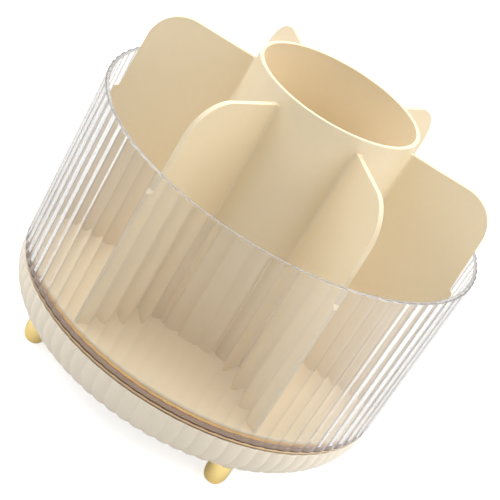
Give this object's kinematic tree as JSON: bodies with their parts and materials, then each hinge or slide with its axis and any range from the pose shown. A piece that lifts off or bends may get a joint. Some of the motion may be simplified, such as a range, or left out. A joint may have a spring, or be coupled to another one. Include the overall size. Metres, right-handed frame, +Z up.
{
  "type": "rotating makeup brush holder",
  "caption": "Round rotating brush holder: clear fluted bin on a footed fluted swivel base, with a lift-out divider of fins around a centre tube on its own floor.",
  "frame": {"origin": "on the floor under the feet, on the axis that the turntable turns about", "axes": "+Z up along the turning axis, -Y towards the viewer of the picture, +X along one fin of the divider"},
  "size_m": [0.17, 0.17, 0.1475],
  "materials": {
    "ivory_plastic": "moulded ivory, satin gloss",
    "divider_plastic": "moulded warm ivory, fine satin",
    "clear_plastic": "clear, polished",
    "gold_plate": "gold plated, polished",
    "steel": "zinc plated",
    "bearing_plastic": "natural white, low friction"
  },
  "bodies": {
    "base": {"base_shell": "ivory_plastic", "foot_front_left": "gold_plate", "foot_front_right": "gold_plate", "foot_rear_left": "gold_plate", "foot_rear_right": "gold_plate", "foot_washers": "steel", "foot_screws": "steel", "pivot_bush": "bearing_plastic"},
    "ball_race": {"ball_cage": "bearing_plastic", "bearing_balls": "steel"},
    "turntable": {"turntable_plate": "ivory_plastic", "trim_ring": "gold_plate", "clear_bin": "clear_plastic", "pivot_washer": "steel", "pivot_screw": "steel"},
    "divider": {"divider": "divider_plastic", "divider_band": "gold_plate"}
  },
  "joints": [
    {"name": "turntable_spin", "type": "hinge", "parent": "base", "child": "turntable", "pos_m": [0, 0, 0.03], "axis": [0, 0, 1], "continuous": true},
    {"name": "ball_race_spin", "type": "hinge", "parent": "base", "child": "ball_race", "pos_m": [0, 0, 0.0245], "axis": [0, 0, 1], "continuous": true},
    {"name": "divider_lift", "type": "slide", "parent": "turntable", "child": "divider", "axis": [0, 0, 1], "range_m": [0, 0.085]}
  ],
  "couplings": [
    {"joint": "ball_race_spin", "follows": "turntable_spin", "ratio": 0.5}
  ]
}
